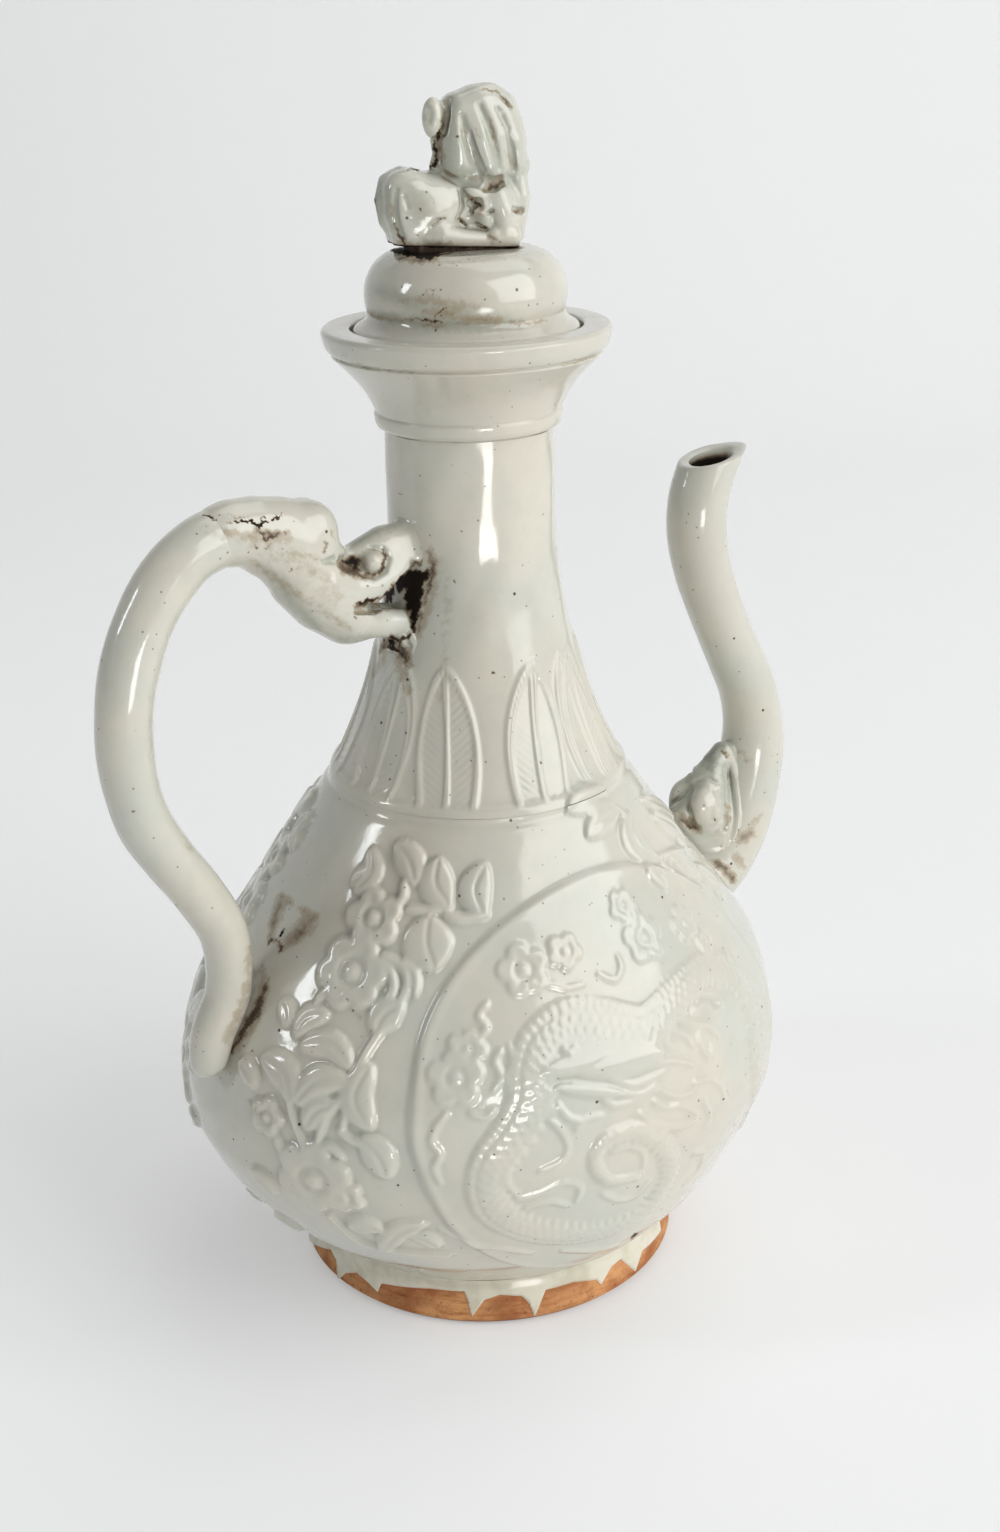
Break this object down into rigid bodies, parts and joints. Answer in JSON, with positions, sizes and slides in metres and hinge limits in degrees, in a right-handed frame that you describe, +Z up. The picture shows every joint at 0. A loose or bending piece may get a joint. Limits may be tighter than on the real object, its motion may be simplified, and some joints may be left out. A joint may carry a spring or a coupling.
{
  "type": "lidded ewer",
  "caption": "Pear-shaped glazed ceramic ewer with a dragon-head handle, an S-curved spout, moulded dragon panels and a lift-off lid with a seated lion knob.",
  "frame": {"origin": "middle of the foot ring's flat underside", "axes": "+Z up, +X towards the spout with the handle on -X, -Y out of the front panel"},
  "size_m": [0.2145, 0.1504, 0.3082],
  "materials": {
    "glaze": "glossy pale bluish-grey glaze, slightly uneven, with fine dark specks and brown stains in the hollows",
    "biscuit": "bare orange-brown fired clay with runs of glaze over its upper edge"
  },
  "bodies": {
    "ewer": {"foot_ring": "biscuit", "body_front": "glaze", "body_back": "glaze", "neck": "glaze", "mouth_cup": "glaze", "spout_tube": "glaze", "spout_mask": "glaze", "handle_loop": "glaze", "dragon_head": "glaze"},
    "lid": {"lid_dome": "glaze", "lid_collar": "glaze", "finial_plinth": "glaze", "lion_body": "glaze", "lion_head": "glaze"}
  },
  "joints": [
    {"name": "lid_lift", "type": "slide", "parent": "ewer", "child": "lid", "axis": [0, 0, 1], "range_m": [0, 0.06]}
  ]
}
